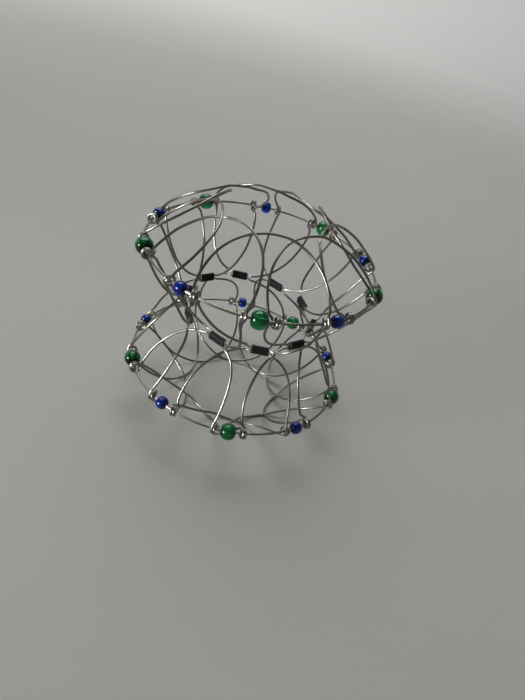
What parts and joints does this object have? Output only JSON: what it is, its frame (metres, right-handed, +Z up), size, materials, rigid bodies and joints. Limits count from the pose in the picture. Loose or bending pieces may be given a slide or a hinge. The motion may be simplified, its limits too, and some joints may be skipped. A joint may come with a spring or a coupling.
{
  "type": "wire bead mandala",
  "caption": "Folding wire fidget toy: petals of bent wire with coiled eyes hang on two beaded rim wires and are tied by short sleeves at a waist that narrows and widens as the petals turn.",
  "frame": {"origin": "on the surface the toy stands on, under the middle of its box", "axes": "+Z up along the toy's middle, -Y towards the first green bead, the side that the picture shows in front"},
  "size_m": [0.0758, 0.0788, 0.0736],
  "materials": {
    "wire_steel": "drawn wire, dull with bright highlights",
    "green_glass": "polished translucent glass",
    "blue_glass": "polished dark glass",
    "sleeve_black": "satin black tube"
  },
  "bodies": {
    "lower_rim": {"lower_rim": "wire_steel"},
    "upper_rim": {"upper_rim": "wire_steel"},
    "lower_petal_01": {"lower_petal_01": "wire_steel"},
    "lower_petal_02": {"lower_petal_02": "wire_steel"},
    "lower_petal_03": {"lower_petal_03": "wire_steel"},
    "lower_petal_04": {"lower_petal_04": "wire_steel"},
    "lower_petal_05": {"lower_petal_05": "wire_steel"},
    "lower_petal_06": {"lower_petal_06": "wire_steel"},
    "lower_petal_07": {"lower_petal_07": "wire_steel"},
    "lower_petal_08": {"lower_petal_08": "wire_steel"},
    "lower_petal_09": {"lower_petal_09": "wire_steel"},
    "lower_petal_10": {"lower_petal_10": "wire_steel"},
    "upper_petal_01": {"upper_petal_01": "wire_steel"},
    "upper_petal_02": {"upper_petal_02": "wire_steel"},
    "upper_petal_03": {"upper_petal_03": "wire_steel"},
    "upper_petal_04": {"upper_petal_04": "wire_steel"},
    "upper_petal_05": {"upper_petal_05": "wire_steel"},
    "upper_petal_06": {"upper_petal_06": "wire_steel"},
    "upper_petal_07": {"upper_petal_07": "wire_steel"},
    "upper_petal_08": {"upper_petal_08": "wire_steel"},
    "upper_petal_09": {"upper_petal_09": "wire_steel"},
    "upper_petal_10": {"upper_petal_10": "wire_steel"},
    "sleeve_01": {"sleeve_01": "sleeve_black"},
    "sleeve_02": {"sleeve_02": "sleeve_black"},
    "sleeve_03": {"sleeve_03": "sleeve_black"},
    "sleeve_04": {"sleeve_04": "sleeve_black"},
    "sleeve_05": {"sleeve_05": "sleeve_black"},
    "sleeve_06": {"sleeve_06": "sleeve_black"},
    "sleeve_07": {"sleeve_07": "sleeve_black"},
    "sleeve_08": {"sleeve_08": "sleeve_black"},
    "sleeve_09": {"sleeve_09": "sleeve_black"},
    "sleeve_10": {"sleeve_10": "sleeve_black"},
    "lower_bead_01": {"lower_bead_01": "green_glass"},
    "lower_bead_02": {"lower_bead_02": "blue_glass"},
    "lower_bead_03": {"lower_bead_03": "green_glass"},
    "lower_bead_04": {"lower_bead_04": "blue_glass"},
    "lower_bead_05": {"lower_bead_05": "green_glass"},
    "lower_bead_06": {"lower_bead_06": "blue_glass"},
    "lower_bead_07": {"lower_bead_07": "green_glass"},
    "lower_bead_08": {"lower_bead_08": "blue_glass"},
    "lower_bead_09": {"lower_bead_09": "green_glass"},
    "lower_bead_10": {"lower_bead_10": "blue_glass"},
    "upper_bead_01": {"upper_bead_01": "green_glass"},
    "upper_bead_02": {"upper_bead_02": "blue_glass"},
    "upper_bead_03": {"upper_bead_03": "green_glass"},
    "upper_bead_04": {"upper_bead_04": "blue_glass"},
    "upper_bead_05": {"upper_bead_05": "green_glass"},
    "upper_bead_06": {"upper_bead_06": "blue_glass"},
    "upper_bead_07": {"upper_bead_07": "green_glass"},
    "upper_bead_08": {"upper_bead_08": "blue_glass"},
    "upper_bead_09": {"upper_bead_09": "green_glass"},
    "upper_bead_10": {"upper_bead_10": "blue_glass"}
  },
  "joints": [
    {"name": "petal_fold", "type": "hinge", "parent": "lower_rim", "child": "lower_petal_01", "pos_m": [0, -0.03218, 0.0153], "axis": [-1, 0, 0], "range_deg": [-24, 18]},
    {"name": "upper_fold_01", "type": "hinge", "parent": "lower_petal_01", "child": "upper_petal_01", "pos_m": [0.0045, -0.02148, 0.0368], "axis": [-1, 0, 0], "range_deg": [-36, 48]},
    {"name": "sleeve_turn_01", "type": "hinge", "parent": "upper_petal_01", "child": "sleeve_01", "pos_m": [0.0045, -0.02148, 0.0373], "axis": [-1, 0, 0], "range_deg": [-24, 18]},
    {"name": "upper_rim_level", "type": "hinge", "parent": "upper_petal_01", "child": "upper_rim", "pos_m": [0, -0.03218, 0.0583], "axis": [-1, 0, 0], "range_deg": [-24, 18]},
    {"name": "lower_fold_02", "type": "hinge", "parent": "lower_rim", "child": "lower_petal_02", "pos_m": [0.01891, -0.02603, 0.0153], "axis": [-0.809, -0.5878, 0], "range_deg": [-24, 18]},
    {"name": "upper_fold_02", "type": "hinge", "parent": "lower_petal_02", "child": "upper_petal_02", "pos_m": [0.01626, -0.01473, 0.0368], "axis": [-0.809, -0.5878, 0], "range_deg": [-36, 48]},
    {"name": "sleeve_turn_02", "type": "hinge", "parent": "upper_petal_02", "child": "sleeve_02", "pos_m": [0.01626, -0.01473, 0.0373], "axis": [-0.809, -0.5878, 0], "range_deg": [-24, 18]},
    {"name": "lower_fold_03", "type": "hinge", "parent": "lower_rim", "child": "lower_petal_03", "pos_m": [0.0306, -0.00994, 0.0153], "axis": [-0.309, -0.9511, 0], "range_deg": [-24, 18]},
    {"name": "upper_fold_03", "type": "hinge", "parent": "lower_petal_03", "child": "upper_petal_03", "pos_m": [0.02182, -0.00236, 0.0368], "axis": [-0.309, -0.9511, 0], "range_deg": [-36, 48]},
    {"name": "sleeve_turn_03", "type": "hinge", "parent": "upper_petal_03", "child": "sleeve_03", "pos_m": [0.02182, -0.00236, 0.0373], "axis": [-0.309, -0.9511, 0], "range_deg": [-24, 18]},
    {"name": "lower_fold_04", "type": "hinge", "parent": "lower_rim", "child": "lower_petal_04", "pos_m": [0.0306, 0.00994, 0.0153], "axis": [0.309, -0.9511, 0], "range_deg": [-24, 18]},
    {"name": "upper_fold_04", "type": "hinge", "parent": "lower_petal_04", "child": "upper_petal_04", "pos_m": [0.01903, 0.01092, 0.0368], "axis": [0.309, -0.9511, 0], "range_deg": [-36, 48]},
    {"name": "sleeve_turn_04", "type": "hinge", "parent": "upper_petal_04", "child": "sleeve_04", "pos_m": [0.01903, 0.01092, 0.0373], "axis": [0.309, -0.9511, 0], "range_deg": [-24, 18]},
    {"name": "lower_fold_05", "type": "hinge", "parent": "lower_rim", "child": "lower_petal_05", "pos_m": [0.01891, 0.02603, 0.0153], "axis": [0.809, -0.5878, 0], "range_deg": [-24, 18]},
    {"name": "upper_fold_05", "type": "hinge", "parent": "lower_petal_05", "child": "upper_petal_05", "pos_m": [0.00898, 0.02002, 0.0368], "axis": [0.809, -0.5878, 0], "range_deg": [-36, 48]},
    {"name": "sleeve_turn_05", "type": "hinge", "parent": "upper_petal_05", "child": "sleeve_05", "pos_m": [0.00898, 0.02002, 0.0373], "axis": [0.809, -0.5878, 0], "range_deg": [-24, 18]},
    {"name": "lower_fold_06", "type": "hinge", "parent": "lower_rim", "child": "lower_petal_06", "pos_m": [0, 0.03218, 0.0153], "axis": [1, 0, 0], "range_deg": [-24, 18]},
    {"name": "upper_fold_06", "type": "hinge", "parent": "lower_petal_06", "child": "upper_petal_06", "pos_m": [-0.0045, 0.02148, 0.0368], "axis": [1, 0, 0], "range_deg": [-36, 48]},
    {"name": "sleeve_turn_06", "type": "hinge", "parent": "upper_petal_06", "child": "sleeve_06", "pos_m": [-0.0045, 0.02148, 0.0373], "axis": [1, 0, 0], "range_deg": [-24, 18]},
    {"name": "lower_fold_07", "type": "hinge", "parent": "lower_rim", "child": "lower_petal_07", "pos_m": [-0.01891, 0.02603, 0.0153], "axis": [0.809, 0.5878, 0], "range_deg": [-24, 18]},
    {"name": "upper_fold_07", "type": "hinge", "parent": "lower_petal_07", "child": "upper_petal_07", "pos_m": [-0.01626, 0.01473, 0.0368], "axis": [0.809, 0.5878, 0], "range_deg": [-36, 48]},
    {"name": "sleeve_turn_07", "type": "hinge", "parent": "upper_petal_07", "child": "sleeve_07", "pos_m": [-0.01626, 0.01473, 0.0373], "axis": [0.809, 0.5878, 0], "range_deg": [-24, 18]},
    {"name": "lower_fold_08", "type": "hinge", "parent": "lower_rim", "child": "lower_petal_08", "pos_m": [-0.0306, 0.00994, 0.0153], "axis": [0.309, 0.9511, 0], "range_deg": [-24, 18]},
    {"name": "upper_fold_08", "type": "hinge", "parent": "lower_petal_08", "child": "upper_petal_08", "pos_m": [-0.02182, 0.00236, 0.0368], "axis": [0.309, 0.9511, 0], "range_deg": [-36, 48]},
    {"name": "sleeve_turn_08", "type": "hinge", "parent": "upper_petal_08", "child": "sleeve_08", "pos_m": [-0.02182, 0.00236, 0.0373], "axis": [0.309, 0.9511, 0], "range_deg": [-24, 18]},
    {"name": "lower_fold_09", "type": "hinge", "parent": "lower_rim", "child": "lower_petal_09", "pos_m": [-0.0306, -0.00994, 0.0153], "axis": [-0.309, 0.9511, 0], "range_deg": [-24, 18]},
    {"name": "upper_fold_09", "type": "hinge", "parent": "lower_petal_09", "child": "upper_petal_09", "pos_m": [-0.01903, -0.01092, 0.0368], "axis": [-0.309, 0.9511, 0], "range_deg": [-36, 48]},
    {"name": "sleeve_turn_09", "type": "hinge", "parent": "upper_petal_09", "child": "sleeve_09", "pos_m": [-0.01903, -0.01092, 0.0373], "axis": [-0.309, 0.9511, 0], "range_deg": [-24, 18]},
    {"name": "lower_fold_10", "type": "hinge", "parent": "lower_rim", "child": "lower_petal_10", "pos_m": [-0.01891, -0.02603, 0.0153], "axis": [-0.809, 0.5878, 0], "range_deg": [-24, 18]},
    {"name": "upper_fold_10", "type": "hinge", "parent": "lower_petal_10", "child": "upper_petal_10", "pos_m": [-0.00898, -0.02002, 0.0368], "axis": [-0.809, 0.5878, 0], "range_deg": [-36, 48]},
    {"name": "sleeve_turn_10", "type": "hinge", "parent": "upper_petal_10", "child": "sleeve_10", "pos_m": [-0.00898, -0.02002, 0.0373], "axis": [-0.809, 0.5878, 0], "range_deg": [-24, 18]},
    {"name": "lower_bead_spin_01", "type": "hinge", "parent": "lower_rim", "child": "lower_bead_01", "pos_m": [0, -0.037, 0.0153], "axis": [1, 0, 0], "continuous": true},
    {"name": "lower_bead_spin_02", "type": "hinge", "parent": "lower_rim", "child": "lower_bead_02", "pos_m": [0.02175, -0.02993, 0.0153], "axis": [0.809, 0.5878, 0], "continuous": true},
    {"name": "lower_bead_spin_03", "type": "hinge", "parent": "lower_rim", "child": "lower_bead_03", "pos_m": [0.03519, -0.01143, 0.0153], "axis": [0.309, 0.9511, 0], "continuous": true},
    {"name": "lower_bead_spin_04", "type": "hinge", "parent": "lower_rim", "child": "lower_bead_04", "pos_m": [0.03519, 0.01143, 0.0153], "axis": [-0.309, 0.9511, 0], "continuous": true},
    {"name": "lower_bead_spin_05", "type": "hinge", "parent": "lower_rim", "child": "lower_bead_05", "pos_m": [0.02175, 0.02993, 0.0153], "axis": [-0.809, 0.5878, 0], "continuous": true},
    {"name": "lower_bead_spin_06", "type": "hinge", "parent": "lower_rim", "child": "lower_bead_06", "pos_m": [0, 0.037, 0.0153], "axis": [-1, 0, 0], "continuous": true},
    {"name": "lower_bead_spin_07", "type": "hinge", "parent": "lower_rim", "child": "lower_bead_07", "pos_m": [-0.02175, 0.02993, 0.0153], "axis": [-0.809, -0.5878, 0], "continuous": true},
    {"name": "lower_bead_spin_08", "type": "hinge", "parent": "lower_rim", "child": "lower_bead_08", "pos_m": [-0.03519, 0.01143, 0.0153], "axis": [-0.309, -0.9511, 0], "continuous": true},
    {"name": "lower_bead_spin_09", "type": "hinge", "parent": "lower_rim", "child": "lower_bead_09", "pos_m": [-0.03519, -0.01143, 0.0153], "axis": [0.309, -0.9511, 0], "continuous": true},
    {"name": "lower_bead_spin_10", "type": "hinge", "parent": "lower_rim", "child": "lower_bead_10", "pos_m": [-0.02175, -0.02993, 0.0153], "axis": [0.809, -0.5878, 0], "continuous": true},
    {"name": "upper_bead_spin_01", "type": "hinge", "parent": "upper_rim", "child": "upper_bead_01", "pos_m": [0, -0.037, 0.0583], "axis": [1, 0, 0], "continuous": true},
    {"name": "upper_bead_spin_02", "type": "hinge", "parent": "upper_rim", "child": "upper_bead_02", "pos_m": [0.02175, -0.02993, 0.0583], "axis": [0.809, 0.5878, 0], "continuous": true},
    {"name": "upper_bead_spin_03", "type": "hinge", "parent": "upper_rim", "child": "upper_bead_03", "pos_m": [0.03519, -0.01143, 0.0583], "axis": [0.309, 0.9511, 0], "continuous": true},
    {"name": "upper_bead_spin_04", "type": "hinge", "parent": "upper_rim", "child": "upper_bead_04", "pos_m": [0.03519, 0.01143, 0.0583], "axis": [-0.309, 0.9511, 0], "continuous": true},
    {"name": "upper_bead_spin_05", "type": "hinge", "parent": "upper_rim", "child": "upper_bead_05", "pos_m": [0.02175, 0.02993, 0.0583], "axis": [-0.809, 0.5878, 0], "continuous": true},
    {"name": "upper_bead_spin_06", "type": "hinge", "parent": "upper_rim", "child": "upper_bead_06", "pos_m": [0, 0.037, 0.0583], "axis": [-1, 0, 0], "continuous": true},
    {"name": "upper_bead_spin_07", "type": "hinge", "parent": "upper_rim", "child": "upper_bead_07", "pos_m": [-0.02175, 0.02993, 0.0583], "axis": [-0.809, -0.5878, 0], "continuous": true},
    {"name": "upper_bead_spin_08", "type": "hinge", "parent": "upper_rim", "child": "upper_bead_08", "pos_m": [-0.03519, 0.01143, 0.0583], "axis": [-0.309, -0.9511, 0], "continuous": true},
    {"name": "upper_bead_spin_09", "type": "hinge", "parent": "upper_rim", "child": "upper_bead_09", "pos_m": [-0.03519, -0.01143, 0.0583], "axis": [0.309, -0.9511, 0], "continuous": true},
    {"name": "upper_bead_spin_10", "type": "hinge", "parent": "upper_rim", "child": "upper_bead_10", "pos_m": [-0.02175, -0.02993, 0.0583], "axis": [0.809, -0.5878, 0], "continuous": true}
  ],
  "couplings": [
    {"joint": "upper_fold_01", "follows": "petal_fold", "ratio": -2},
    {"joint": "sleeve_turn_01", "follows": "petal_fold", "ratio": 1},
    {"joint": "upper_rim_level", "follows": "petal_fold", "ratio": 1},
    {"joint": "lower_fold_02", "follows": "petal_fold", "ratio": 1},
    {"joint": "upper_fold_02", "follows": "petal_fold", "ratio": -2},
    {"joint": "sleeve_turn_02", "follows": "petal_fold", "ratio": 1},
    {"joint": "lower_fold_03", "follows": "petal_fold", "ratio": 1},
    {"joint": "upper_fold_03", "follows": "petal_fold", "ratio": -2},
    {"joint": "sleeve_turn_03", "follows": "petal_fold", "ratio": 1},
    {"joint": "lower_fold_04", "follows": "petal_fold", "ratio": 1},
    {"joint": "upper_fold_04", "follows": "petal_fold", "ratio": -2},
    {"joint": "sleeve_turn_04", "follows": "petal_fold", "ratio": 1},
    {"joint": "lower_fold_05", "follows": "petal_fold", "ratio": 1},
    {"joint": "upper_fold_05", "follows": "petal_fold", "ratio": -2},
    {"joint": "sleeve_turn_05", "follows": "petal_fold", "ratio": 1},
    {"joint": "lower_fold_06", "follows": "petal_fold", "ratio": 1},
    {"joint": "upper_fold_06", "follows": "petal_fold", "ratio": -2},
    {"joint": "sleeve_turn_06", "follows": "petal_fold", "ratio": 1},
    {"joint": "lower_fold_07", "follows": "petal_fold", "ratio": 1},
    {"joint": "upper_fold_07", "follows": "petal_fold", "ratio": -2},
    {"joint": "sleeve_turn_07", "follows": "petal_fold", "ratio": 1},
    {"joint": "lower_fold_08", "follows": "petal_fold", "ratio": 1},
    {"joint": "upper_fold_08", "follows": "petal_fold", "ratio": -2},
    {"joint": "sleeve_turn_08", "follows": "petal_fold", "ratio": 1},
    {"joint": "lower_fold_09", "follows": "petal_fold", "ratio": 1},
    {"joint": "upper_fold_09", "follows": "petal_fold", "ratio": -2},
    {"joint": "sleeve_turn_09", "follows": "petal_fold", "ratio": 1},
    {"joint": "lower_fold_10", "follows": "petal_fold", "ratio": 1},
    {"joint": "upper_fold_10", "follows": "petal_fold", "ratio": -2},
    {"joint": "sleeve_turn_10", "follows": "petal_fold", "ratio": 1}
  ]
}
